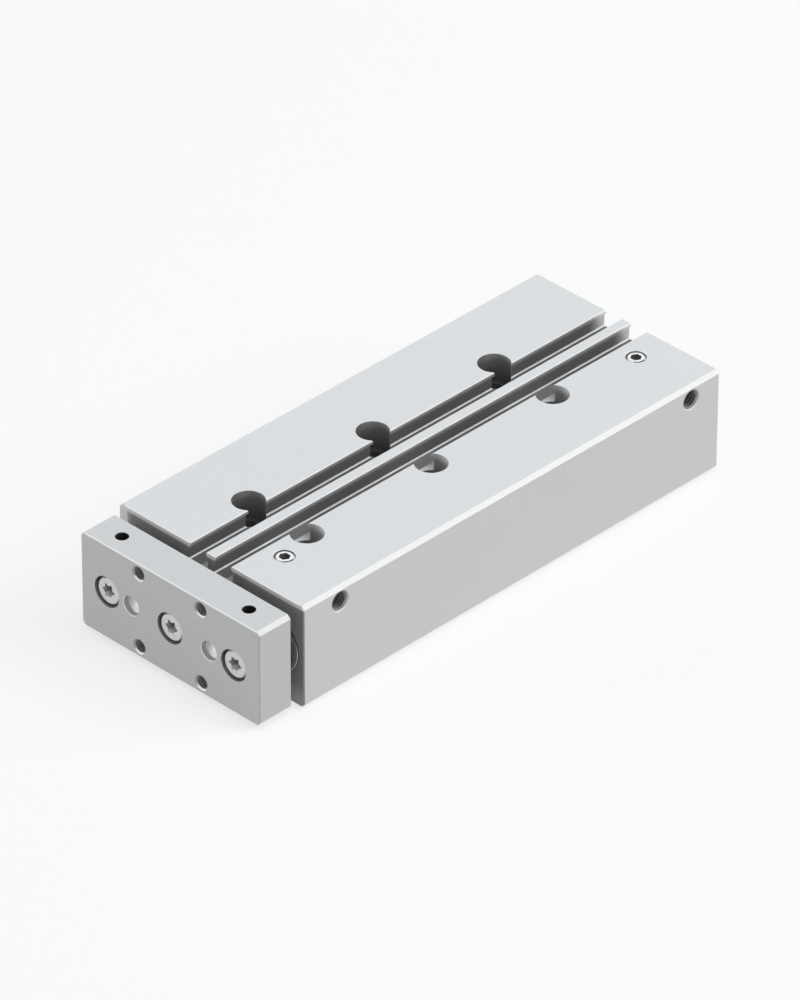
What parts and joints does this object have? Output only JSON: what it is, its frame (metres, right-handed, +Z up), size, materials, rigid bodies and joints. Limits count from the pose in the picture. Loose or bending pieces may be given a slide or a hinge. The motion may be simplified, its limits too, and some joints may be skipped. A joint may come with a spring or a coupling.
{
  "type": "guided pneumatic cylinder",
  "caption": "Compact guided pneumatic cylinder: an extruded aluminium body with sensor slots and air ports, and a yoke plate that slides out on a piston rod and guide rods.",
  "frame": {"origin": "centre of the housing's underside", "axes": "+X across the housing towards the air ports, +Y along the housing from the yoke plate to the rear, +Z up to the sensor slots"},
  "size_m": [0.0594, 0.149, 0.0276],
  "materials": {
    "anodised_housing": "satin clear anodised",
    "anodised_yoke": "satin clear anodised",
    "cap_aluminium": "turned",
    "bearing_metal": "sintered bronze",
    "ground_steel": "ground and hard chromed",
    "plated_screws": "zinc plated",
    "spring_steel": "phosphated",
    "seal_rubber": "moulded",
    "cover_plastic": "moulded",
    "magnet": "sintered"
  },
  "bodies": {
    "cylinder_body": {"housing": "anodised_housing", "rod_bearing_cap": "bearing_metal", "rod_seal": "seal_rubber", "bearing_cap_o_ring": "seal_rubber", "front_bumper": "seal_rubber", "front_retaining_ring": "spring_steel", "end_cap": "cap_aluminium", "end_cap_o_ring": "seal_rubber", "rear_bumper": "seal_rubber", "rear_retaining_ring": "spring_steel", "guide_wiper_left": "seal_rubber", "guide_wiper_right": "seal_rubber", "guide_bush_front_left": "bearing_metal", "guide_bush_front_right": "bearing_metal", "guide_bush_rear_left": "bearing_metal", "guide_bush_rear_right": "bearing_metal", "guide_cover_left": "cover_plastic", "guide_cover_right": "cover_plastic", "port_plug_front": "plated_screws", "port_plug_rear": "plated_screws"},
    "slide": {"yoke_plate": "anodised_yoke", "yoke_screws": "plated_screws", "piston_rod": "ground_steel", "guide_rod_left": "ground_steel", "guide_rod_right": "ground_steel", "piston_front": "cap_aluminium", "piston_rear": "cap_aluminium", "piston_magnet": "magnet", "piston_wear_ring": "cover_plastic", "piston_seal_front": "seal_rubber", "piston_seal_rear": "seal_rubber", "piston_nut": "plated_screws"}
  },
  "joints": [
    {"name": "stroke", "type": "slide", "parent": "cylinder_body", "child": "slide", "axis": [0, -1, 0], "range_m": [0, 0.08]}
  ]
}
